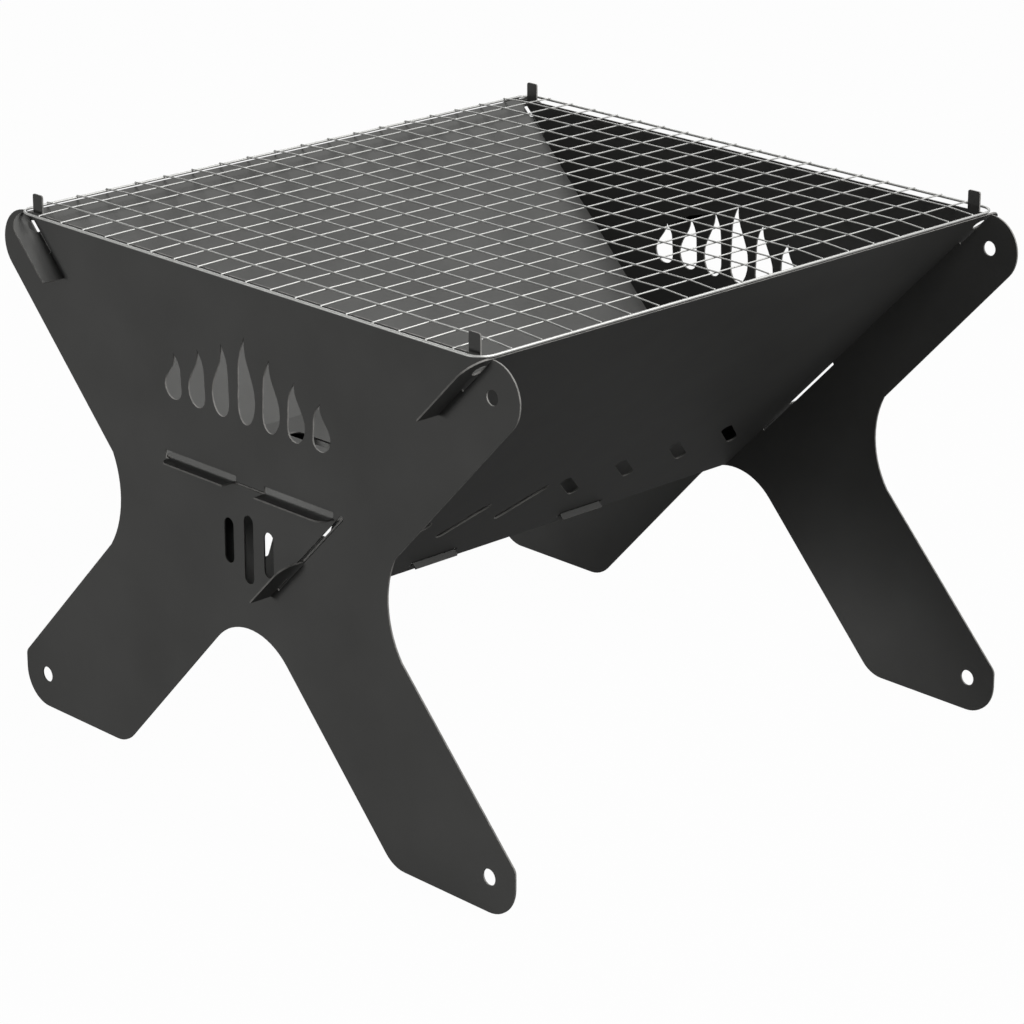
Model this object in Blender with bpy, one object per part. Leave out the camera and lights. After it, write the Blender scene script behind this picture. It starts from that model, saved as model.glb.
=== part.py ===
"""Portable flat-pack fire pit: laser-cut sheet-steel plates that hook together into a V-shaped
trough on crossed legs, with a fire bed tray and a lift-off wire grate.

Metres, +Z up. X runs across the end plates, Y from the front plate to the rear plate.
The origin is on the ground under the middle of the pit.
"""
import math

import bpy

# Sheet metal
SHEET = 0.0010          # thickness of every steel sheet
SEAT = 0.0003           # gap between pieces that touch
ROUND_ERROR = 0.00005   # how far the sides of a round outline may lie inside the true curve

# End plates, both alike, one at each end
PLATE_Y = 0.1949        # middle of each plate, from the centre
PLATE_TOP = 0.3050
FOOT_X = 0.2102         # outer side of a foot
FOOT_SIDE = 0.0300      # height of the foot's upright side
FOOT_HOLE = (0.1905, 0.0203)
TOE_RADIUS = 0.0200
FOOT_SIDE_ROUND = 0.0050
TOE_X = 0.1156          # where the leg's inner edge would meet the ground
CROTCH_Z = 0.1229       # where the two inner edges would meet
CROTCH_RADIUS = 0.0410
LEG_TOP = (0.1236, 0.1210)      # outer end of the leg, where the waist starts
ARM_BOTTOM = (0.1190, 0.1780)   # and where it ends
WAIST_DEPTH = 0.0080    # how far the waist bows in between them
ARM_HOLE = (0.1935, 0.2850)
ARM_RADIUS = 0.0200
FOOT_HOLE_RADIUS = 0.0047
ARM_HOLE_RADIUS = 0.0043
STOP_X = 0.1807         # the small upright stops that keep the grate in place
STOP_WIDTH = 0.0086
STOP_HEIGHT = 0.0115
STOP_ROUND = 0.0012

# The V of the two side panels, seen from the front
SLOPE = math.radians(45.3)
APEX_Z = 0.1116         # where the middle planes of the two panels cross, above x = 0
PANEL_SLOT = 0.0034     # width of the slots that the panels hook through
HOOK_SEAT_Z = 0.2845    # foot of the upper slots, which carry the panels
LOWER_SLOT_Z = (0.1350, 0.1905)

# Air vents in the end plates
VENT_WIDTH = 0.0080
VENT_PITCH = 0.0168
VENT_LOW_Z = (0.1390, 0.1655)   # the two outer vents
VENT_TALL_Z = (0.1310, 0.1710)  # the middle one

# Cut-out in the end plates: a row of flames
FLAME_PITCH = 0.0205
FLAME_BASE_Z = 0.2230
FLAME_HEIGHTS = (0.050, 0.042, 0.034, 0.027)    # from the middle one outwards
FLAME_BELLY = 0.0105    # half width before the taper narrows it
FLAME_TAPER = 1.6
FLAME_SWAY = 0.0028
FLAME_STEPS = 28

# Side panels
PANEL_TOP_Z = 0.3050
PANEL_BOTTOM = -0.0093  # lower edge of the right panel, along the slope from the apex
PANEL_HALF = PLATE_Y - SHEET / 2 - SEAT     # half length between the end plates
EAR_Y = 0.2100          # outer ends of the hooks
PRONG_Y = PLATE_Y + SHEET / 2 + SEAT        # inner side of a hook's hanging prong
RIGHT_EAR_TIP_Z = 0.2665
LEFT_EAR_TIP_Z = 0.2720
EAR_ROUND = 0.0120
HOOK_NECK_Z = (0.1435, 0.1560)
HOOK_TIP_Z = 0.1290
HOOK_ROUND = 0.0085
EAR_HOLE_Z = 0.2975
EAR_HOLE_Y = 0.1956
EAR_HOLE_RADIUS = 0.0043
SIDE_VENT_Y = 0.0194    # the first vent's centre, from the middle of the pit
SIDE_VENT_PITCH = 0.0452
SIDE_VENT_Z = 0.1435
SIDE_VENT_LENGTH = 0.0368
SIDE_VENT_WIDTH = 0.0075
SIDE_VENT_ANGLE = 135   # degrees, from the pit's length
SIDE_VENTS = 4          # in each half of a panel
TAB_Y = 0.0590          # the two tabs that join the panels along the bottom
TAB_LENGTH = 0.0325
TAB_REACH = 0.0042      # past the apex, out of the right panel's slots
TAB_SLOT = (0.0350, 0.0050)
LEFT_PANEL_FOOT = 0.0011    # the left panel's lower edge, along the slope from the apex

# Fire bed tray
TRAY_Z = 0.1875         # middle of the sheet
TRAY_HALF = 0.0727
TRAY_SHIFT = 0.0023     # the tabs sit this far off centre
TRAY_TAB_SPAN = (0.0134, 0.0681)    # a tab's inner and outer side, from the tabs' centre
TRAY_TAB_REACH = 0.0088             # out of the end plate
TRAY_TAB_ROUND = 0.0060
TRAY_SLOT_HALF = 0.0707
TRAY_SLOT_TOP = 0.1916  # above the tabs, where the tray is tilted in
TRAY_TONGUE_HALF = 0.0120   # between the tabs, a tongue of the end plate comes down to the tray
BED_HOLE = (0.0420, 0.0080)         # length and width of the slots in the tray
BED_ROWS = 10
BED_COLUMN_X = 0.0320
BED_PITCH = 0.0340

# Wire grate
RIM_HALF = (0.1915, 0.2015)
RIM_RADIUS = 0.0008
RIM_CORNER = 0.0100
WIRE_RADIUS = 0.00045
LONG_WIRES = 18         # along Y
LONG_SPREAD = 0.1714    # from the centre to the outermost one
CROSS_WIRES = 18        # along X
CROSS_SPREAD = 0.1803
WIRE_OVERHANG = 0.0003  # how far each wire passes the rim's centreline
DIP_TOP = 0.0015        # where a cross wire starts down to the rim, outside the last long wire
DIP_FOOT = 0.0012       # and where it arrives, inside the rim's centreline

BLACK_STEEL = ((0.045, 0.045, 0.044), 0.55, 0.2)
BRIGHT_WIRE = ((0.80, 0.80, 0.79), 0.22, 1.0)


def clear_scene():
    for old in list(bpy.data.objects):
        bpy.data.objects.remove(old, do_unlink=True)


def material(name, look):
    colour, roughness, metallic = look
    made = bpy.data.materials.new(name)
    made.use_nodes = True
    shader = made.node_tree.nodes["Principled BSDF"]
    shader.inputs["Base Color"].default_value = (*colour, 1.0)
    shader.inputs["Roughness"].default_value = roughness
    shader.inputs["Metallic"].default_value = metallic
    return made


# Flat outlines, as lists of points

def arc(centre, radius, start, end):
    """Points on a circle, from one angle to another, in degrees."""
    widest = 2 * math.acos(1 - ROUND_ERROR / radius)
    steps = math.ceil(abs(math.radians(end - start)) / widest)
    angles = [math.radians(start + (end - start) * i / steps) for i in range(steps + 1)]
    return [(centre[0] + radius * math.cos(a), centre[1] + radius * math.sin(a)) for a in angles]


def bow(start, end, depth):
    """Points on the circular arc that bows by depth to the left of the line from start to end."""
    half = math.dist(start, end) / 2
    radius = (half * half + depth * depth) / (2 * depth)
    along = math.atan2(end[1] - start[1], end[0] - start[0])
    middle = ((start[0] + end[0]) / 2, (start[1] + end[1]) / 2)
    centre = (middle[0] + (radius - depth) * math.sin(along),
              middle[1] - (radius - depth) * math.cos(along))
    half_angle = math.degrees(math.asin(half / radius))
    top = math.degrees(along) + 90
    return arc(centre, radius, top + half_angle, top - half_angle)


def rounded(corners):
    """The outline through these corners; a corner (x, y, radius) gets a round of that radius."""
    points = []
    for i, corner in enumerate(corners):
        if len(corner) == 2:
            points.append(corner)
            continue
        x, y, radius = corner
        before, after = corners[i - 1], corners[(i + 1) % len(corners)]
        to_before = math.atan2(before[1] - y, before[0] - x)
        to_after = math.atan2(after[1] - y, after[0] - x)
        turn = (to_after - to_before + math.pi) % (2 * math.pi) - math.pi
        bisector = to_before + turn / 2
        away = radius / math.sin(abs(turn) / 2)
        centre = (x + away * math.cos(bisector), y + away * math.sin(bisector))
        opening = math.degrees(math.pi - abs(turn)) / 2
        side = math.copysign(opening, turn)
        facing = math.degrees(bisector) + 180
        points += arc(centre, radius, facing + side, facing - side)
    return points


def obround(centre, length, width, angle=90):
    """A slot with round ends; angle is the direction of its length, in degrees."""
    run = (length - width) / 2
    step = (run * math.cos(math.radians(angle)), run * math.sin(math.radians(angle)))
    ahead = (centre[0] + step[0], centre[1] + step[1])
    behind = (centre[0] - step[0], centre[1] - step[1])
    return (arc(ahead, width / 2, angle - 90, angle + 90)
            + arc(behind, width / 2, angle + 90, angle + 270))


def circle(centre, radius):
    return arc(centre, radius, 0, 360)[:-1]


def box_outline(low, high):
    return [low, (high[0], low[1]), high, (low[0], high[1])]


def mirrored(points):
    return [(-x, y) for x, y, *_ in reversed(points)]


def mirrored_corners(corners):
    return [(-corner[0], *corner[1:]) for corner in reversed(corners)]


def sheet(name, outline, openings, look):
    """A flat sheet cut to an outline, with openings, centred on its own XY plane."""
    curve = bpy.data.curves.new(name, "CURVE")
    curve.dimensions = "2D"
    curve.fill_mode = "BOTH"
    curve.extrude = SHEET / 2
    for points in (outline, *openings):
        spline = curve.splines.new("POLY")
        spline.points.add(len(points) - 1)
        for place, (x, y) in zip(spline.points, points):
            place.co = (x, y, 0, 1)
        spline.use_cyclic_u = True
    curve.materials.append(look)
    made = bpy.data.objects.new(name, curve)
    bpy.context.collection.objects.link(made)
    return made


# End plates

def along_slope(distance, offset=0.0):
    """A point in the plane of an end plate: this far up the right panel's middle line from the
    apex, and this far off it to the outer side."""
    return (distance * math.cos(SLOPE) + offset * math.sin(SLOPE),
            APEX_Z + distance * math.sin(SLOPE) - offset * math.cos(SLOPE))


def slope_distance(z):
    """How far up the slope from the apex a height is."""
    return (z - APEX_Z) / math.sin(SLOPE)


def plate_outline():
    """Crossed legs below, arms above, a waist between; the arms' upper edge has a slot that is
    open at the top for each side panel, and a stop for the grate."""
    slot_half = PANEL_SLOT / 2 / math.sin(SLOPE)
    slot_middle = (PLATE_TOP - APEX_Z) / math.tan(SLOPE)
    slot_foot = slope_distance(HOOK_SEAT_Z) - SEAT
    lip = math.degrees(math.acos((slot_middle + slot_half - ARM_HOLE[0]) / ARM_RADIUS))
    reach = (ARM_HOLE[0] - ARM_BOTTOM[0], ARM_HOLE[1] - ARM_BOTTOM[1])
    edge = math.atan2(reach[1], reach[0]) - math.asin(ARM_RADIUS / math.hypot(*reach))
    half = [
        (TOE_X, 0.0, TOE_RADIUS),
        (FOOT_X, 0.0, TOE_RADIUS),
        (FOOT_X, FOOT_SIDE, FOOT_SIDE_ROUND),
        *bow(LEG_TOP, ARM_BOTTOM, WAIST_DEPTH),
        *arc(ARM_HOLE, ARM_RADIUS, math.degrees(edge) - 90, lip),
        along_slope(slot_foot, PANEL_SLOT / 2),
        along_slope(slot_foot, -PANEL_SLOT / 2),
        (slot_middle - slot_half, PLATE_TOP),
        (STOP_X + STOP_WIDTH / 2, PLATE_TOP),
        (STOP_X + STOP_WIDTH / 2, PLATE_TOP + STOP_HEIGHT, STOP_ROUND),
        (STOP_X - STOP_WIDTH / 2, PLATE_TOP + STOP_HEIGHT, STOP_ROUND),
        (STOP_X - STOP_WIDTH / 2, PLATE_TOP),
    ]
    return rounded([(0.0, CROTCH_Z, CROTCH_RADIUS), *half, *mirrored_corners(half)])


def flame(centre_x, height, lean):
    """A drop with a round base and a pointed tip that sways to one side."""
    points = []
    for i in range(FLAME_STEPS):
        turn = 2 * math.pi * i / FLAME_STEPS
        rise = (1 + math.cos(turn)) / 2
        width = FLAME_BELLY * math.sin(turn) * math.sin(turn / 2) ** FLAME_TAPER
        sway = lean * FLAME_SWAY * math.sin(2 * math.pi * rise) * rise
        points.append((centre_x + width + sway, FLAME_BASE_Z + height * rise))
    return points


def tray_slot():
    """One long slot for the tray, low under the tongue and taller above each tab."""
    foot, lip = TRAY_Z - SHEET / 2 - SEAT, TRAY_Z + SHEET / 2 + SEAT
    tongue = (TRAY_SHIFT - TRAY_TONGUE_HALF, TRAY_SHIFT + TRAY_TONGUE_HALF)
    return [
        (-TRAY_SLOT_HALF, foot), (TRAY_SLOT_HALF, foot),
        (TRAY_SLOT_HALF, TRAY_SLOT_TOP), (tongue[1], TRAY_SLOT_TOP),
        (tongue[1], lip), (tongue[0], lip),
        (tongue[0], TRAY_SLOT_TOP), (-TRAY_SLOT_HALF, TRAY_SLOT_TOP),
    ]


def plate_openings():
    holes = []
    for side in (1, -1):
        holes.append(circle((side * FOOT_HOLE[0], FOOT_HOLE[1]), FOOT_HOLE_RADIUS))
        holes.append(circle((side * ARM_HOLE[0], ARM_HOLE[1]), ARM_HOLE_RADIUS))
    for step, (low, high) in ((-1, VENT_LOW_Z), (0, VENT_TALL_Z), (1, VENT_LOW_Z)):
        centre = (step * VENT_PITCH, (low + high) / 2)
        holes.append(obround(centre, high - low, VENT_WIDTH))
    holes.append(tray_slot())
    low, high = (slope_distance(z) for z in LOWER_SLOT_Z)
    half = PANEL_SLOT / 2
    holes.append([along_slope(low, half), along_slope(high, half),
                  along_slope(high, -half), along_slope(low, -half)])
    for step in range(1 - len(FLAME_HEIGHTS), len(FLAME_HEIGHTS)):
        lean = 1 if step >= 0 else -1
        holes.append(flame(step * FLAME_PITCH, FLAME_HEIGHTS[abs(step)], lean))
    return holes


def end_plates(look):
    outline, holes = plate_outline(), plate_openings()
    for name, y in (("end_plate_front", -PLATE_Y), ("end_plate_rear", PLATE_Y)):
        plate = sheet(name, outline, holes, look)
        plate.location = (0.0, y, 0.0)
        plate.rotation_euler = (math.pi / 2, 0.0, 0.0)


# Side panels, drawn with x along the pit and y up the slope from the apex

def ear_corners(tip_z):
    """The upper hook at one end, from its foot up to the panel's top edge: a neck that sits in
    the end plate's slot, and a prong that hangs down outside the plate. The sheet's cut edge is
    square to its slope, so only its inner corner reaches the panel's full height."""
    seat = slope_distance(HOOK_SEAT_Z)
    top = slope_distance(PANEL_TOP_Z - SHEET / 2 * math.cos(SLOPE))
    return [
        (PANEL_HALF, seat),
        (PRONG_Y, seat),
        (PRONG_Y, slope_distance(tip_z)),
        (EAR_Y, slope_distance(tip_z)),
        (EAR_Y, top, EAR_ROUND),
    ]


def lower_hook_corners():
    neck_low, neck_high = (slope_distance(z) for z in HOOK_NECK_Z)
    tip = slope_distance(HOOK_TIP_Z)
    return [
        (PANEL_HALF, neck_low),
        (PRONG_Y, neck_low),
        (PRONG_Y, tip),
        (EAR_Y, tip),
        (EAR_Y, neck_high, HOOK_ROUND),
        (PANEL_HALF, neck_high),
    ]


def side_vents():
    """Slanted slots that lean towards the middle of the pit, so the two halves mirror."""
    holes = []
    height = slope_distance(SIDE_VENT_Z)
    for i in range(SIDE_VENTS):
        centre = (SIDE_VENT_Y + i * SIDE_VENT_PITCH, height)
        right = obround(centre, SIDE_VENT_LENGTH, SIDE_VENT_WIDTH, SIDE_VENT_ANGLE)
        holes += [right, mirrored(right)]
    return holes


def ear_holes():
    height = slope_distance(EAR_HOLE_Z)
    return [circle((side * EAR_HOLE_Y, height), EAR_HOLE_RADIUS) for side in (1, -1)]


def stand_up(panel, heading):
    """Tilt a panel to the slope of the V and turn it to its own side."""
    panel.location = (0.0, 0.0, APEX_Z)
    panel.rotation_euler = (SLOPE, 0.0, heading)


def right_panel(look):
    half = [(PANEL_HALF, PANEL_BOTTOM), *lower_hook_corners(), *ear_corners(RIGHT_EAR_TIP_Z)]
    outline = rounded(half + mirrored_corners(half))
    slots = []
    for y in (TAB_Y, -TAB_Y):
        slots.append(box_outline((y - TAB_SLOT[0] / 2, -TAB_SLOT[1] / 2),
                                 (y + TAB_SLOT[0] / 2, TAB_SLOT[1] / 2)))
    panel = sheet("side_panel_right", outline, side_vents() + ear_holes() + slots, look)
    stand_up(panel, -math.pi / 2)


def left_panel(look):
    """As the right one, but its lower edge rests on the right panel, with two tabs through it."""
    half = [
        (TAB_Y - TAB_LENGTH / 2, LEFT_PANEL_FOOT),
        (TAB_Y - TAB_LENGTH / 2, -TAB_REACH),
        (TAB_Y + TAB_LENGTH / 2, -TAB_REACH),
        (TAB_Y + TAB_LENGTH / 2, LEFT_PANEL_FOOT),
        (PANEL_HALF, LEFT_PANEL_FOOT),
        *ear_corners(LEFT_EAR_TIP_Z),
    ]
    outline = rounded(half + mirrored_corners(half))
    panel = sheet("side_panel_left", outline, side_vents() + ear_holes(), look)
    stand_up(panel, math.pi / 2)


# Fire bed tray

def fire_bed(look):
    """A flat slotted sheet across the V, with two tabs through each end plate."""
    inner, outer = TRAY_TAB_SPAN
    flush = PLATE_Y + SHEET / 2
    reach = flush + TRAY_TAB_REACH
    end = [
        (TRAY_HALF, PANEL_HALF),
        (TRAY_SHIFT + outer, PANEL_HALF),
        (TRAY_SHIFT + outer, reach, TRAY_TAB_ROUND),
        (TRAY_SHIFT + inner, reach),
        (TRAY_SHIFT + inner, flush),
        (TRAY_SHIFT - inner, flush),
        (TRAY_SHIFT - inner, reach),
        (TRAY_SHIFT - outer, reach, TRAY_TAB_ROUND),
        (TRAY_SHIFT - outer, PANEL_HALF),
        (-TRAY_HALF, PANEL_HALF),
    ]
    front = [(corner[0], -corner[1], *corner[2:]) for corner in reversed(end)]
    holes = []
    for row in range(BED_ROWS):
        y = (row - (BED_ROWS - 1) / 2) * BED_PITCH
        for x in (BED_COLUMN_X, -BED_COLUMN_X):
            holes.append(obround((x, y), BED_HOLE[0], BED_HOLE[1], 0))
    tray = sheet("fire_bed_tray", rounded(end + front), holes, look)
    tray.location = (0.0, 0.0, TRAY_Z)


# Wire grate, which lifts off

def wire_heights():
    """Rim on the panels' top edges, long wires on the rim, cross wires on the long wires."""
    rim = PANEL_TOP_Z + SEAT + RIM_RADIUS
    long_wire = rim + RIM_RADIUS + SEAT + WIRE_RADIUS
    return rim, long_wire, long_wire + 2 * WIRE_RADIUS + SEAT


def round_wire(name, points, radius, look, closed=False, resolution=2):
    """A round wire along these points."""
    curve = bpy.data.curves.new(name, "CURVE")
    curve.dimensions = "3D"
    curve.bevel_depth = radius
    curve.bevel_resolution = resolution
    curve.use_fill_caps = not closed
    spline = curve.splines.new("POLY")
    spline.points.add(len(points) - 1)
    for place, point in zip(spline.points, points):
        place.co = (*point, 1)
    spline.use_cyclic_u = closed
    spline.use_smooth = True
    curve.materials.append(look)
    wire = bpy.data.objects.new(name, curve)
    bpy.context.collection.objects.link(wire)
    return wire


def grate_rim(look):
    """One thicker wire bent into a rectangle with round corners."""
    z = wire_heights()[0]
    points = []
    for start, (x, y) in zip((0, 90, 180, 270), ((1, 1), (-1, 1), (-1, -1), (1, -1))):
        centre = (x * (RIM_HALF[0] - RIM_CORNER), y * (RIM_HALF[1] - RIM_CORNER))
        points += arc(centre, RIM_CORNER, start, start + 90)
    return round_wire("grate_rim", [(x, y, z) for x, y in points], RIM_RADIUS, look,
                      closed=True, resolution=3)


def cross_wire_points(y, high, low):
    """A cross wire lies on the long wires, and its ends come down to be welded to the rim."""
    half = [
        (RIM_HALF[0] + WIRE_OVERHANG, y, low),
        (RIM_HALF[0] - DIP_FOOT, y, low),
        (LONG_SPREAD + DIP_TOP, y, high),
    ]
    return [(-x, y, z) for x, y, z in half] + half[::-1]


def wires(rim, look):
    _, long_z, cross_z = wire_heights()
    end = RIM_HALF[1] + WIRE_OVERHANG
    for i in range(LONG_WIRES):
        x = LONG_SPREAD * (2 * i / (LONG_WIRES - 1) - 1)
        points = [(x, -end, long_z), (x, end, long_z)]
        round_wire(f"grate_long_wire_{i + 1:02d}", points, WIRE_RADIUS, look).parent = rim
    for i in range(CROSS_WIRES):
        y = CROSS_SPREAD * (2 * i / (CROSS_WIRES - 1) - 1)
        points = cross_wire_points(y, cross_z, long_z)
        round_wire(f"grate_cross_wire_{i + 1:02d}", points, WIRE_RADIUS, look).parent = rim


def main():
    clear_scene()
    steel = material("matte_black_steel", BLACK_STEEL)
    bright = material("bright_wire", BRIGHT_WIRE)
    end_plates(steel)
    right_panel(steel)
    left_panel(steel)
    fire_bed(steel)
    wires(grate_rim(bright), bright)


main()
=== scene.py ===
# %% [markdown]
# # A flat-pack fire pit in matt black steel, with a bright wire grate
#
# This lesson takes a finished CAD model of a portable fire pit and gives it its looks. The real
# thing is five sheets of laser-cut steel, painted black, that hook into each other without a
# single screw, and a welded wire grate that lies loose on top.
#
# The CAD model is loaded as a fixed frame. It already has every sheet and every wire at its
# real size, so all the work here goes into what a CAD model leaves out: softened edges, paint,
# plating, welds and light.

# %% Load the frame
import math

import bmesh
import bpy
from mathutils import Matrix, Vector


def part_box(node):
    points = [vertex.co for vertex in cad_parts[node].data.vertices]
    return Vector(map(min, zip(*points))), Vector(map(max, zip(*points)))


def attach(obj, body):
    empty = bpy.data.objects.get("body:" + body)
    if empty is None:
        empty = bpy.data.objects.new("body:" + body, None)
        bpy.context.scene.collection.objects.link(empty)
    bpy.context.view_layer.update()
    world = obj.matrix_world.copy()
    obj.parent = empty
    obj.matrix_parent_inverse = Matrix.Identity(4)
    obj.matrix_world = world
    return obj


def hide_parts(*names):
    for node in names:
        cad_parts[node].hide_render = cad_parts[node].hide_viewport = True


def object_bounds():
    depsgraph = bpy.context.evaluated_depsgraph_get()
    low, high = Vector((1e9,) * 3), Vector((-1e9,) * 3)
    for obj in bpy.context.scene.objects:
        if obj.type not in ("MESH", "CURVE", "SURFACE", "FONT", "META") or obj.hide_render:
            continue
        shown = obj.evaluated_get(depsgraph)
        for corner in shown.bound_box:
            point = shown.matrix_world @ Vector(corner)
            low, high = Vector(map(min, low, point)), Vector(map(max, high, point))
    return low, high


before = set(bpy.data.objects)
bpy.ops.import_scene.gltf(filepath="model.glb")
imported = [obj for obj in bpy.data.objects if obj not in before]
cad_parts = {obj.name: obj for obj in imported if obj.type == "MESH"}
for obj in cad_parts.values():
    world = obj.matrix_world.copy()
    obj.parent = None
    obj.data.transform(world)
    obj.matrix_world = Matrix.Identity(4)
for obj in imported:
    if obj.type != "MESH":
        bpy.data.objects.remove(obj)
CAD_LOW, CAD_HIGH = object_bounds()
print("CAD box in mm:", [round(1000 * side) for side in CAD_HIGH - CAD_LOW])

# %% [markdown]
# ## Units and colours
#
# Blender works in metres, but sheet thickness, wire and paint texture are things that a maker
# thinks of in millimetres, so one constant turns millimetres into metres.
#
# Colours are easiest to read and to match as hex codes, as a picture editor shows them. The
# shaders want linear light instead, so one function converts them.

# %% A millimetre and a colour
MM = 0.001


def colour(code):
    """A hex colour such as 2a2a2a, as the linear colour that a shader socket takes."""
    values = []
    for start in (0, 2, 4):
        level = int(code[start:start + 2], 16) / 255
        values.append(level / 12.92 if level <= 0.04045 else ((level + 0.055) / 1.055) ** 2.4)
    return (*values, 1.0)


print("mid grey in linear light:", [round(value, 3) for value in colour("808080")])

# %% [markdown]
# ## A helper for shader nodes
#
# Each material below is a small graph of nodes. Adding a node is always the same three things:
# make it, set its options, and fill or link its inputs. One function does that. An input's
# value is either a plain number or colour, or an earlier node, whose first output gets linked,
# or one output of an earlier node.
#
# Some nodes, such as Mix, hold several sockets of one name and show only those that fit their
# settings, so the function looks for a socket that is enabled.

# %% Add a node
def shown(sockets, name=None):
    """The first enabled socket, or the first one of this name or number."""
    if isinstance(name, int):
        return sockets[name]
    return next(s for s in sockets if s.enabled and name in (None, s.name))


def add_node(tree, kind, inputs=None, **settings):
    """A node of this kind, with its settings, and with its inputs set or linked."""
    node = tree.nodes.new(kind)
    for name, value in settings.items():
        setattr(node, name, value)
    for name, value in (inputs or {}).items():
        socket = shown(node.inputs, name)
        if isinstance(value, bpy.types.Node):
            tree.links.new(shown(value.outputs), socket)
        elif isinstance(value, bpy.types.NodeSocket):
            tree.links.new(value, socket)
        else:
            socket.default_value = value
    return node


def new_material(name):
    """An empty material, and its node tree."""
    made = bpy.data.materials.new(name)
    made.use_nodes = True
    made.node_tree.nodes.clear()
    return made, made.node_tree


print("node helper ready")

# %% [markdown]
# ## Matt black heat-resistant paint
#
# The sheets are mild steel under a matt, heat-resistant black paint, sprayed on and stoved. The
# eye reads that from three things. It hardly shines, because the pigment stands out of the film.
# The film has a slight orange peel, a dimpling of about half a millimetre, from droplets that
# didn't quite flow together. And along cut edges it draws back and wears thin, so that edges look
# a shade lighter than the faces. The lighter edge colour stands for that wear and is also a
# painted highlight, in place of the light that the rounded edges catch.
#
# Orange peel that fine is smaller than one pixel of the picture, so it is drawn at 1.6 mm, where
# it just shows. A second, slow cloud of about 60 mm varies shade and sheen from place to place,
# as the spray gun's passes do. On the edges, specks of about 4 mm set how much of the paint is
# worn and how strong the painted edge highlight is.
#
# Roughness 0.6 and IOR 1.5 are typical of matt paint. The specular level is far below the usual
# 0.5: at that value the panel over the floor mirrors the white floor at a low angle and turns
# grey, and in the photograph it is the darkest sheet of all.
#
# An attribute on the mesh, `cut_edge`, tells the paint where the laser cut is: 1 on the cut
# walls and their rounds, 0 on the faces. That is sturdier than guessing edges from curvature.

# %% Paint
PAINT_FACE = colour("3b3b3a")
PAINT_FACE_THIN = colour("484847")
# Lighter edge colour: partly paint worn thin on the cut edges, partly a painted highlight along
# them.
PAINT_EDGE_WEAR_AND_HIGHLIGHT = colour("5e5d5b")
PAINT_IOR = 1.5
PAINT_SPECULAR = 0.01
PAINT_SMOOTHEST = 0.58
PAINT_ROUGHEST = 0.68
CLOUD_SIZE = 60 * MM
CLOUD_DETAIL = 3.0
PEEL_SIZE = 1.6 * MM
PEEL_DEPTH = 0.08 * MM
PEEL_STRENGTH = 0.45
SPECK_SIZE = 4 * MM
SPECK_DETAIL = 4.0
SPECK_LOW = 0.35
SPECK_HIGH = 0.60
# Every cut edge gets at least this share of the lighter edge colour, its painted highlight and
# wear.
LEAST_EDGE_WEAR_AND_HIGHLIGHT = 0.45


def matt_stove_paint():
    """Matt black heat-resistant paint, sprayed on laser-cut mild steel."""
    made, tree = new_material("matt_black_stove_paint")
    place = add_node(tree, "ShaderNodeTexCoord").outputs["Object"]
    cloud = add_node(tree, "ShaderNodeTexNoise",
                     {"Vector": place, "Scale": 1 / CLOUD_SIZE, "Detail": CLOUD_DETAIL})
    speck = add_node(tree, "ShaderNodeTexNoise",
                     {"Vector": place, "Scale": 1 / SPECK_SIZE, "Detail": SPECK_DETAIL})
    peel = add_node(tree, "ShaderNodeTexNoise", {"Vector": place, "Scale": 1 / PEEL_SIZE})
    face = add_node(tree, "ShaderNodeMix",
                    {"Factor": cloud, "A": PAINT_FACE, "B": PAINT_FACE_THIN}, data_type="RGBA")
    edge = add_node(tree, "ShaderNodeAttribute", attribute_name="cut_edge").outputs["Fac"]
    speck_wear_and_highlight = add_node(tree, "ShaderNodeMapRange",
                    {"Value": speck, "From Min": SPECK_LOW, "From Max": SPECK_HIGH,
                     "To Min": LEAST_EDGE_WEAR_AND_HIGHLIGHT})
    # Cut-edge mask times specks: where the lighter colour for edge wear and painted highlight
    # goes.
    edge_wear_and_highlight = add_node(tree, "ShaderNodeMath", {0: edge, 1: speck_wear_and_highlight}, operation="MULTIPLY")
    paint = add_node(tree, "ShaderNodeMix",
                     {"Factor": edge_wear_and_highlight, "A": face, "B": PAINT_EDGE_WEAR_AND_HIGHLIGHT}, data_type="RGBA")
    sheen = add_node(tree, "ShaderNodeMapRange",
                     {"Value": cloud, "To Min": PAINT_SMOOTHEST, "To Max": PAINT_ROUGHEST})
    dimples = add_node(tree, "ShaderNodeBump",
                       {"Height": peel, "Strength": PEEL_STRENGTH, "Distance": PEEL_DEPTH})
    shader = add_node(tree, "ShaderNodeBsdfPrincipled",
                      {"Base Color": paint, "Roughness": sheen, "IOR": PAINT_IOR,
                       "Specular IOR Level": PAINT_SPECULAR, "Normal": dimples})
    add_node(tree, "ShaderNodeOutputMaterial", {"Surface": shader})
    return made


STOVE_PAINT = matt_stove_paint()
print("paint:", STOVE_PAINT.name)

# %% [markdown]
# ## A sheet's softened edges
#
# A laser leaves a cut that is square to the sheet, and paint then rounds it by about a fifth of
# a millimetre. That small round is what catches the light along every outline, so it is worth
# having as real geometry.
#
# The CAD solids are made of triangles, so each sheet is copied, its split points are welded,
# and its flat triangles are joined into large faces. What is left as an edge is then either a
# true corner or a facet of a smooth curve. A Bevel modifier that works by angle rounds only the
# corners. After that the large faces are shaded flat and only the cut walls and rounds smooth,
# because smoothing would bend the light at the rim of a large flat face and leave streaks on it.

# %% Soften the edges of a sheet
EDGE_ROUND = 0.20 * MM
ROUND_STEPS = 2
CORNER_ANGLE = math.radians(30)
FLAT_ANGLE = math.radians(0.5)
WELD_DISTANCE = 0.002 * MM
SAME_WAY = 0.9999


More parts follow.
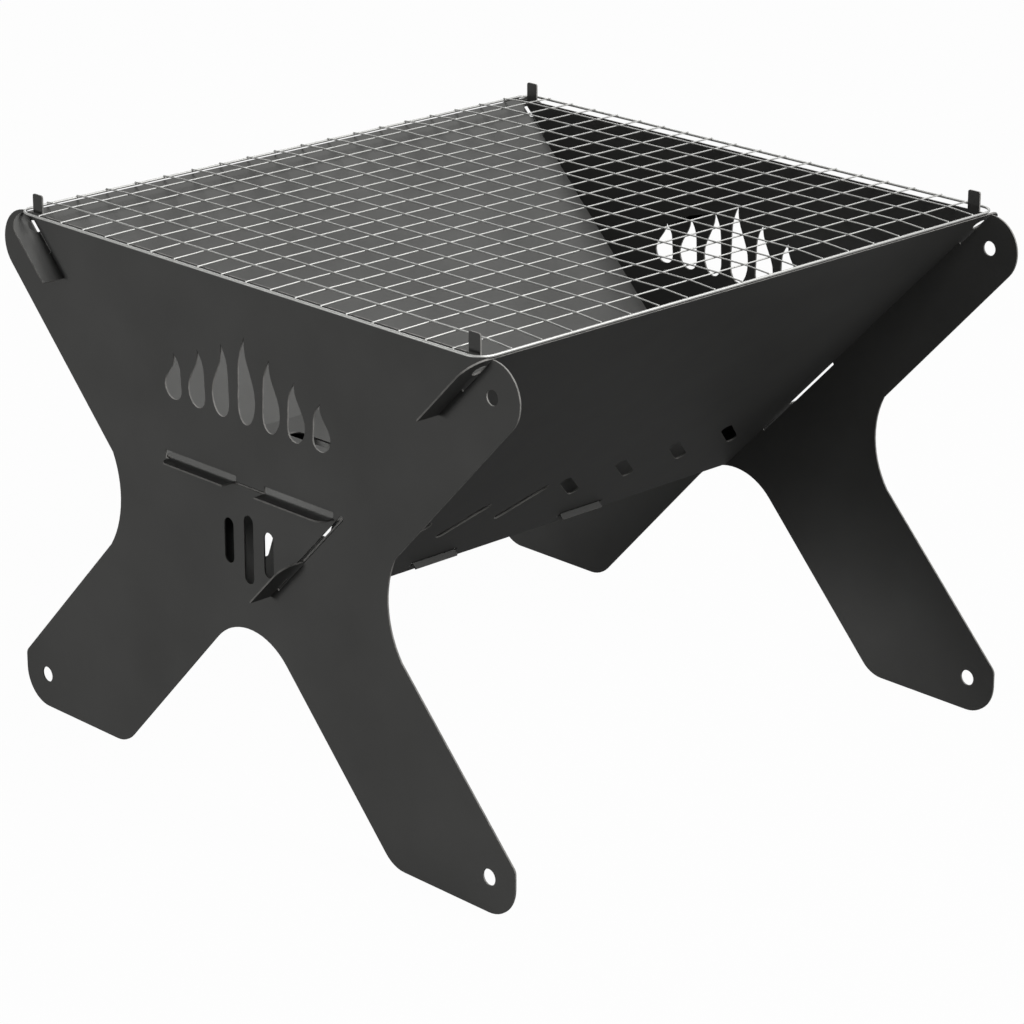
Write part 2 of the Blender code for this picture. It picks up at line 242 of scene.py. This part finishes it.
def large_faces(node):
    """A copy of a CAD node's mesh, with its flat triangles joined into large faces."""
    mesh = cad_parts[node].data.copy()
    shape = bmesh.new()
    shape.from_mesh(mesh)
    bmesh.ops.remove_doubles(shape, verts=shape.verts, dist=WELD_DISTANCE)
    bmesh.ops.dissolve_limit(shape, angle_limit=FLAT_ANGLE, verts=shape.verts, edges=shape.edges)
    shape.to_mesh(mesh)
    shape.free()
    return mesh


def round_corners(piece):
    """Rounds a sheet's corners with a Bevel modifier, and turns the result into plain mesh."""
    rounds = piece.modifiers.new("edge rounds", "BEVEL")
    rounds.width = EDGE_ROUND
    rounds.segments = ROUND_STEPS
    rounds.limit_method = "ANGLE"
    rounds.angle_limit = CORNER_ANGLE
    graph = bpy.context.evaluated_depsgraph_get()
    rounded = bpy.data.meshes.new_from_object(piece.evaluated_get(graph))
    piece.modifiers.clear()
    piece.data = rounded


def mark_cut_edges(mesh):
    """Shades the sheet's two faces flat and its cut walls and rounds smooth, and gives each face
    the value 0 or 1 for the paint."""
    facing = max(mesh.polygons, key=lambda face: face.area).normal.copy()
    mark = mesh.attributes.new("cut_edge", "FLOAT", "FACE")
    for face, value in zip(mesh.polygons, mark.data):
        is_sheet = abs(face.normal.dot(facing)) > SAME_WAY
        face.use_smooth = not is_sheet
        value.value = 0.0 if is_sheet else 1.0


print(f"cut edges get rounds of {EDGE_ROUND / MM:.1f} mm")

# %% [markdown]
# ## The five sheets
#
# Two end plates, two side panels and the tray that carries the fire. Each painted sheet takes the
# place of its CAD node and rides on the body `pit`, which stays put while the grate is lifted
# off.
#
# Meshes, lamps and the camera all get into a scene the same way, as the data of an object that
# is linked to a collection, so one function serves for all of them.

# %% Dress the sheets
SHEETS = ("end_plate_front", "end_plate_rear", "side_panel_right", "side_panel_left",
          "fire_bed_tray")


def add_object(name, data):
    """An object that puts this mesh, lamp or camera in the scene."""
    made = bpy.data.objects.new(name, data)
    bpy.context.scene.collection.objects.link(made)
    return made


def painted_sheet(node):
    """A painted sheet with softened edges, which stands for a CAD sheet."""
    mesh = large_faces(node)
    mesh.materials.clear()
    mesh.materials.append(STOVE_PAINT)
    piece = add_object(f"painted_{node}", mesh)
    round_corners(piece)
    mark_cut_edges(piece.data)
    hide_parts(node)
    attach(piece, "pit")
    return piece


for node in SHEETS:
    piece = painted_sheet(node)
    print(piece.name, len(piece.data.polygons), "faces")

# %% [markdown]
# ## Bright-plated wire
#
# The grate is mild steel wire, drawn, cut, spot welded into a mesh and then plated with bright
# nickel and chrome. Plating is a metal, so its colour is in its reflection, a plain light
# grey. It isn't a mirror: wire drawing leaves fine lines that plating only partly fills, which
# spreads the highlights, and in patches of about 9 mm the finish is duller. A roughness of 0.5
# and more makes both sets of wires about equally bright, as they are in the photograph, where a
# smooth finish would flash only on the set that happens to face a lamp.
#
# The drawing lines are about 0.1 mm apart on the real wire. Here they are 0.5 mm, so that they
# still show from close by.

# %% Plated wire
PLATING = colour("969694")
PLATING_DULL = colour("848482")
PLATING_SMOOTHEST = 0.50
PLATING_ROUGHEST = 0.62
DULL_SIZE = 9 * MM
DULL_DETAIL = 4.0
DRAW_LINE_SIZE = 0.5 * MM
DRAW_LINE_DEPTH = 0.03 * MM
DRAW_LINE_STRENGTH = 0.15


def bright_plated_wire():
    """Bright nickel-chrome plating on drawn mild steel wire."""
    made, tree = new_material("bright_nickel_chrome_plating")
    place = add_node(tree, "ShaderNodeTexCoord").outputs["Object"]
    haze = add_node(tree, "ShaderNodeTexNoise",
                    {"Vector": place, "Scale": 1 / DULL_SIZE, "Detail": DULL_DETAIL})
    grain = add_node(tree, "ShaderNodeTexNoise", {"Vector": place, "Scale": 1 / DRAW_LINE_SIZE})
    tint = add_node(tree, "ShaderNodeMix",
                    {"Factor": haze, "A": PLATING, "B": PLATING_DULL}, data_type="RGBA")
    gloss = add_node(tree, "ShaderNodeMapRange",
                     {"Value": haze, "To Min": PLATING_SMOOTHEST, "To Max": PLATING_ROUGHEST})
    lines = add_node(tree, "ShaderNodeBump",
                     {"Height": grain, "Strength": DRAW_LINE_STRENGTH,
                      "Distance": DRAW_LINE_DEPTH})
    shader = add_node(tree, "ShaderNodeBsdfPrincipled",
                      {"Base Color": tint, "Metallic": 1.0, "Roughness": gloss, "Normal": lines})
    add_node(tree, "ShaderNodeOutputMaterial", {"Surface": shader})
    return made


PLATED_WIRE = bright_plated_wire()
print("wire finish:", PLATED_WIRE.name)

# %% [markdown]
# ## A round wire with cropped ends
#
# The CAD wires have eight sides, which is plenty for collision and too few for a highlight. So
# each wire is swept again with more sides, along the middle line of its CAD node. Real mesh
# wire is cropped by a blade, and plating rounds the cropped rim, so each end closes with a small
# chamfer.
#
# A sweep is a ring of points at each station along a path. The rings are square to the path,
# and neighbours are joined by quads. A station is the ring's centre, the direction of the wire
# there and the ring's radius. A closed path, such as a rim, has no ends to crop.

# %% Sweep a wire
WIRE_SIDES = 14
END_CHAMFER = 0.25


def stations_along(path, radius, closed):
    """The stations of a wire's rings. Each open end gets a smaller ring, for the chamfer."""
    stations = []
    for i, point in enumerate(path):
        before = path[i - 1] if closed or i else point
        after = path[(i + 1) % len(path)] if closed or i < len(path) - 1 else point
        stations.append((point, (after - before).normalized(), radius))
    if closed:
        return stations
    chamfer = END_CHAMFER * radius
    (start, first_way, _), (end, last_way, _) = stations[0], stations[-1]
    stations[0] = (start + chamfer * first_way, first_way, radius)
    stations[-1] = (end - chamfer * last_way, last_way, radius)
    return [(start, first_way, radius - chamfer), *stations, (end, last_way, radius - chamfer)]


def ring(centre, along, radius):
    """Points of a circle square to a direction in which wires run, so never straight up."""
    across = along.cross(Vector((0, 0, 1))).normalized()
    up = across.cross(along).normalized()
    points = []
    for i in range(WIRE_SIDES):
        angle = 2 * math.pi * i / WIRE_SIDES
        points.append(centre + radius * (math.cos(angle) * across + math.sin(angle) * up))
    return points


def sweep(path, radius, closed):
    """A round wire along a path, as a bmesh."""
    shape = bmesh.new()
    rings = []
    for station in stations_along(path, radius, closed):
        rings.append([shape.verts.new(point) for point in ring(*station)])
    pairs = list(zip(rings, rings[1:]))
    if closed:
        pairs.append((rings[-1], rings[0]))
    for first, second in pairs:
        for i in range(WIRE_SIDES):
            j = (i + 1) % WIRE_SIDES
            shape.faces.new((first[i], first[j], second[j], second[i]))
    if not closed:
        shape.faces.new(rings[0][::-1])
        shape.faces.new(rings[-1])
    bmesh.ops.recalc_face_normals(shape, faces=shape.faces)
    return shape


def plated_wire(name, path, radius, node, closed=False):
    """A plated wire that stands for a CAD wire and rides on the grate."""
    shape = sweep(path, radius, closed)
    mesh = bpy.data.meshes.new(name)
    shape.to_mesh(mesh)
    shape.free()
    mesh.materials.append(PLATED_WIRE)
    mesh.shade_smooth()
    mesh.set_sharp_from_angle(angle=CORNER_ANGLE)
    piece = add_object(name, mesh)
    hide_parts(node)
    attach(piece, "grate")


print("wires get", WIRE_SIDES, "sides")

# %% [markdown]
# ## The rim
#
# The rim is one thicker wire, bent into a rectangle with round corners. Its thickness and its
# reach come from its CAD node's box, so its path needs only what a box doesn't tell, the bend of
# the corners. Each corner is a quarter circle, and the straight sides come from joining them.

# %% Bend the rim
RIM_BEND = 10.0 * MM
RIM_BEND_STEPS = 10
RIM_CORNERS = ((1, 1), (-1, 1), (-1, -1), (1, -1))
RIM_LOW, RIM_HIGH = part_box("grate_rim")
RIM_RADIUS = (RIM_HIGH.z - RIM_LOW.z) / 2
RIM_X = RIM_HIGH.x - RIM_RADIUS
RIM_Y = RIM_HIGH.y - RIM_RADIUS
RIM_Z = (RIM_HIGH.z + RIM_LOW.z) / 2


def rim_path():
    """The rim's middle line, once round, corner by corner."""
    path = []
    for corner, (x, y) in enumerate(RIM_CORNERS):
        centre = Vector((x * (RIM_X - RIM_BEND), y * (RIM_Y - RIM_BEND), RIM_Z))
        for i in range(RIM_BEND_STEPS + 1):
            angle = math.radians(90 * (corner + i / RIM_BEND_STEPS))
            path.append(centre + RIM_BEND * Vector((math.cos(angle), math.sin(angle), 0)))
    return path


plated_wire("plated_grate_rim", rim_path(), RIM_RADIUS, "grate_rim", closed=True)
print(f"rim {2 * RIM_RADIUS / MM:.1f} mm thick")

# %% [markdown]
# ## Long wires and cross wires
#
# Eighteen long wires lie on the rim from front to rear, and eighteen cross wires lie on those.
# The cross wires sit one wire higher, so past the last long wire they are bent down until they
# reach the rim, to be welded to it too. In the CAD model all neighbours keep a small gap. Here
# they touch as the real ones do: the ends of the long wires come down to the rim as well, and
# each wire is sunk a little into the one below, as a welding press leaves it.
#
# Again the boxes of the CAD nodes give every thickness and place. Only the dip of the cross
# wires is given here, by how far past the last long wire it starts and how far before the rim
# it ends. Both halves of a wire are alike, so one half is measured and then mirrored.

# %% Lay the wires
WIRES_EACH_WAY = 18
DIP_TOP = 1.5 * MM
DIP_FOOT = 1.2 * MM
WELD_SINK = 0.08 * MM


def wire_box(way, number):
    """The low and the high corner of the box round a CAD wire."""
    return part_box(f"grate_{way}_wire_{number:02d}")


def wire_middle(way, number, axis):
    """Where the middle of a wire is along an axis, 0 for X and 1 for Y."""
    low, high = wire_box(way, number)
    return (low[axis] + high[axis]) / 2


LAST_LONG_X = wire_middle("long", WIRES_EACH_WAY, 0)
LAST_CROSS_Y = wire_middle("cross", WIRES_EACH_WAY, 1)
LONG_TOP = wire_box("long", WIRES_EACH_WAY)[1].z


def on_top_of(height, radius):
    """Height of the middle of a wire that is welded on top of something this high."""
    return height + radius - WELD_SINK


def long_wire(number):
    """Middle line and radius of a wire along Y whose ends come down to the rim."""
    low, high = wire_box("long", number)
    radius = (high.z - low.z) / 2
    x = wire_middle("long", number, 0)
    half = [Vector((x, high.y, on_top_of(RIM_HIGH.z, radius))),
            Vector((x, LAST_CROSS_Y, high.z - radius))]
    return [Vector((p.x, -p.y, p.z)) for p in half] + half[::-1], radius


def cross_wire(number):
    """Middle line and radius of a wire along X whose ends come down to the rim."""
    low, high = wire_box("cross", number)
    radius = (high.y - low.y) / 2
    y = wire_middle("cross", number, 1)
    foot = on_top_of(RIM_HIGH.z, radius)
    half = [Vector((high.x, y, foot)),
            Vector((RIM_X - DIP_FOOT, y, foot)),
            Vector((LAST_LONG_X + DIP_TOP, y, on_top_of(LONG_TOP, radius)))]
    return [Vector((-p.x, p.y, p.z)) for p in half] + half[::-1], radius


for number in range(1, WIRES_EACH_WAY + 1):
    for way, measure in (("long", long_wire), ("cross", cross_wire)):
        path, radius = measure(number)
        name = f"{way}_wire_{number:02d}"
        plated_wire(f"plated_{name}", path, radius, f"grate_{name}")
print(f"{2 * WIRES_EACH_WAY} wires, {2 * radius / MM:.1f} mm thick")

# %% [markdown]
# ## Spot welds
#
# Where two wires cross, a welding press pushes them together and a current melts them into each
# other. What is left is a small flattened bead in the angle between them. There are 324 of them
# inside the mesh and 72 on the rim. They are far too small to be seen as shapes from a step
# away, but they are what makes a mesh look joined and not just laid.
#
# Each bead is a few rings of points, squashed and closed by a cap each end, copied to every
# crossing in one mesh, because nobody would ever take one off. A bead's size is its half width
# and its half height.

# %% Weld beads
BEAD_SIZE = (0.62 * MM, 0.28 * MM)
RIM_BEAD_SIZE = (0.78 * MM, 0.34 * MM)
BEAD_SIDES = 12
BEAD_LEVELS = (-0.92, -0.5, 0.0, 0.5, 0.92)


def bead_shape():
    """Points and faces of a round bead of radius 1: rings at a few levels, and a cap each end."""
    points = []
    for level in BEAD_LEVELS:
        reach = math.sqrt(1 - level * level)
        for i in range(BEAD_SIDES):
            angle = 2 * math.pi * i / BEAD_SIDES
            points.append((reach * math.cos(angle), reach * math.sin(angle), level))
    top = BEAD_SIDES * (len(BEAD_LEVELS) - 1)
    faces = [tuple(range(BEAD_SIDES))[::-1]]
    for start in range(0, top, BEAD_SIDES):
        for i in range(BEAD_SIDES):
            j = (i + 1) % BEAD_SIDES
            faces.append((start + i, start + j, start + j + BEAD_SIDES, start + i + BEAD_SIDES))
    faces.append(tuple(range(top, top + BEAD_SIDES)))
    return points, faces


def bead_places():
    """The middle of each bead, with its size."""
    numbers = range(1, WIRES_EACH_WAY + 1)
    across = [wire_middle("long", number, 0) for number in numbers]
    along = [wire_middle("cross", number, 1) for number in numbers]
    mesh_z = LONG_TOP - WELD_SINK / 2
    rim_z = RIM_HIGH.z - WELD_SINK / 2
    inside = [((x, y, mesh_z), BEAD_SIZE) for x in across for y in along]
    on_rim = [((x, y, rim_z), RIM_BEAD_SIZE) for x in across for y in (-RIM_Y, RIM_Y)]
    on_rim += [((x, y, rim_z), RIM_BEAD_SIZE) for x in (-RIM_X, RIM_X) for y in along]
    return inside + on_rim


def weld_beads():
    """All beads as one piece that rides on the grate. Gives back how many there are."""
    points, faces = bead_shape()
    verts, polygons = [], []
    for (x, y, z), (wide, high) in bead_places():
        first = len(verts)
        verts += [(x + wide * a, y + wide * b, z + high * c) for a, b, c in points]
        polygons += [tuple(first + i for i in face) for face in faces]
    mesh = bpy.data.meshes.new("plated_weld_beads")
    mesh.from_pydata(verts, [], polygons)
    mesh.materials.append(PLATED_WIRE)
    mesh.shade_smooth()
    piece = add_object("plated_weld_beads", mesh)
    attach(piece, "grate")
    return len(verts) // len(points)


print(weld_beads(), "weld beads")

# %% [markdown]
# ## Floor and daylight-white surround
#
# The pit stands on a plain floor in a white surround. To light, the floor is an ordinary matt
# grey surface, so it throws little light up at the panels and takes the object's soft shadow.
# Light Path mixes in a plain white where the camera or a reflection looks at it, so that the
# background is white without any more light on the object. The last two per cent stay matt,
# which leaves a trace of the shadow. The world does the same: white to look at, but a quieter
# grey as a light source.

# %% Floor and world
FLOOR_HALF = 6.0
FLOOR_GREY = colour("606060")
PURE_WHITE = (1.0, 1.0, 1.0, 1.0)
FLOOR_LIFT = 0.98
WORLD_LIGHT = colour("7a7a7a")


def looked_at(tree):
    """1 for rays from the camera, or by way of a reflection or a clear body, and else 0."""
    path = add_node(tree, "ShaderNodeLightPath").outputs
    either = add_node(tree, "ShaderNodeMath",
                      {0: path["Is Camera Ray"], 1: path["Is Glossy Ray"]}, operation="MAXIMUM")
    return add_node(tree, "ShaderNodeMath",
                    {0: either, 1: path["Is Transmission Ray"]}, operation="MAXIMUM")


def white_floor():
    """A square floor under the feet, matt grey to light and almost white to look at."""
    made, tree = new_material("white_studio_floor")
    matt = add_node(tree, "ShaderNodeBsdfDiffuse", {"Color": FLOOR_GREY})
    glow = add_node(tree, "ShaderNodeEmission", {"Color": PURE_WHITE, "Strength": 1.0})
    lift = add_node(tree, "ShaderNodeMath",
                    {0: looked_at(tree), 1: FLOOR_LIFT}, operation="MULTIPLY")
    mixed = add_node(tree, "ShaderNodeMixShader", {0: lift, 1: matt, 2: glow})
    add_node(tree, "ShaderNodeOutputMaterial", {"Surface": mixed})
    mesh = bpy.data.meshes.new("floor")
    corners = [(-FLOOR_HALF, -FLOOR_HALF, 0), (FLOOR_HALF, -FLOOR_HALF, 0),
               (FLOOR_HALF, FLOOR_HALF, 0), (-FLOOR_HALF, FLOOR_HALF, 0)]
    mesh.from_pydata(corners, [], [(0, 1, 2, 3)])
    mesh.materials.append(made)
    floor = add_object("floor", mesh)
    floor.location.z = CAD_LOW.z


def white_world():
    """A surround that is grey as a light source and white to look at."""
    world = bpy.data.worlds.new("white surround")
    bpy.context.scene.world = world
    world.use_nodes = True
    tree = world.node_tree
    tree.nodes.clear()
    light = add_node(tree, "ShaderNodeBackground", {"Color": WORLD_LIGHT, "Strength": 1.0})
    seen = add_node(tree, "ShaderNodeBackground", {"Color": PURE_WHITE, "Strength": 1.0})
    mixed = add_node(tree, "ShaderNodeMixShader", {0: looked_at(tree), 1: light, 2: seen})
    add_node(tree, "ShaderNodeOutputWorld", {"Surface": mixed})


white_floor()
white_world()
print(f"floor {2 * FLOOR_HALF:.0f} m wide, at height {CAD_LOW.z:.4f}")

# %% [markdown]
# ## Soft studio light
#
# The photograph tells where its light came from. The left panel, whose inner face looks up and
# to the right, is the lightest sheet, and so is its hook in front of the plate: the main light
# is high on the right. The near plate is lit and the far plate, seen over it, is not: the second
# light is low, so that the near plate shades the far one. Both sets of wires have a bright line:
# a weak third light stands high at the back, opposite the camera. All three are large and soft.
#
# Each lamp is given by its place and width in metres and its power in watts, and turns itself
# towards the middle of the object.

# %% Lamps
LAMPS = {
    "key softbox": {"place": (1.24, 0.22, 1.50), "width": 0.7, "power": 84.0},
    "rim softbox": {"place": (-1.20, 1.00, 1.20), "width": 1.0, "power": 14.0},
    "fill softbox": {"place": (-0.60, -2.32, 0.08), "width": 0.7, "power": 56.0},
}


def softbox(name, place, width, power):
    """A square area lamp that looks at the middle of the object."""
    light = bpy.data.lights.new(name, "AREA")
    light.shape = "SQUARE"
    light.size = width
    light.energy = power
    made = add_object(name, light)
    made.location = place
    target = (CAD_LOW + CAD_HIGH) / 2
    made.rotation_euler = (target - made.location).to_track_quat("-Z", "Y").to_euler()


for name, settings in LAMPS.items():
    softbox(name, **settings)
    print(name, settings["power"], "W")

# %% [markdown]
# ## Camera
#
# The photograph's uprights are parallel and its two horizontal directions converge, so its
# camera stood level and its lens was shifted. A plain camera gets closest when it looks down a
# little less steeply than straight at the object and its lens is shifted a little to make up
# for that. Its place was solved from the corner holes of the end plates, the feet and the
# grate's wires, and its view was then widened until the whole object fits the picture.
#
# Lens and sensor are in millimetres, the shift is a share of the picture's width, and the two
# angles, down from level and round from straight ahead, are in radians.

# %% Place the camera
SENSOR = 36.0
FOCAL = 129.4
SHIFT = -0.10
CAMERA_PLACE = (1.4595, -1.3951, 0.8634)
CAMERA_DOWN = 0.3234
CAMERA_TURN = 0.8066

lens = bpy.data.cameras.new("camera")
lens.sensor_width = SENSOR
lens.lens = FOCAL
lens.shift_y = SHIFT
camera = add_object("camera", lens)
camera.location = CAMERA_PLACE
camera.rotation_euler = (math.pi / 2 - CAMERA_DOWN, 0.0, CAMERA_TURN)
bpy.context.scene.camera = camera
bpy.context.scene.view_settings.view_transform = "Standard"
print("camera", round(math.dist(CAMERA_PLACE, (0, 0, 0)), 2), "m from the object")
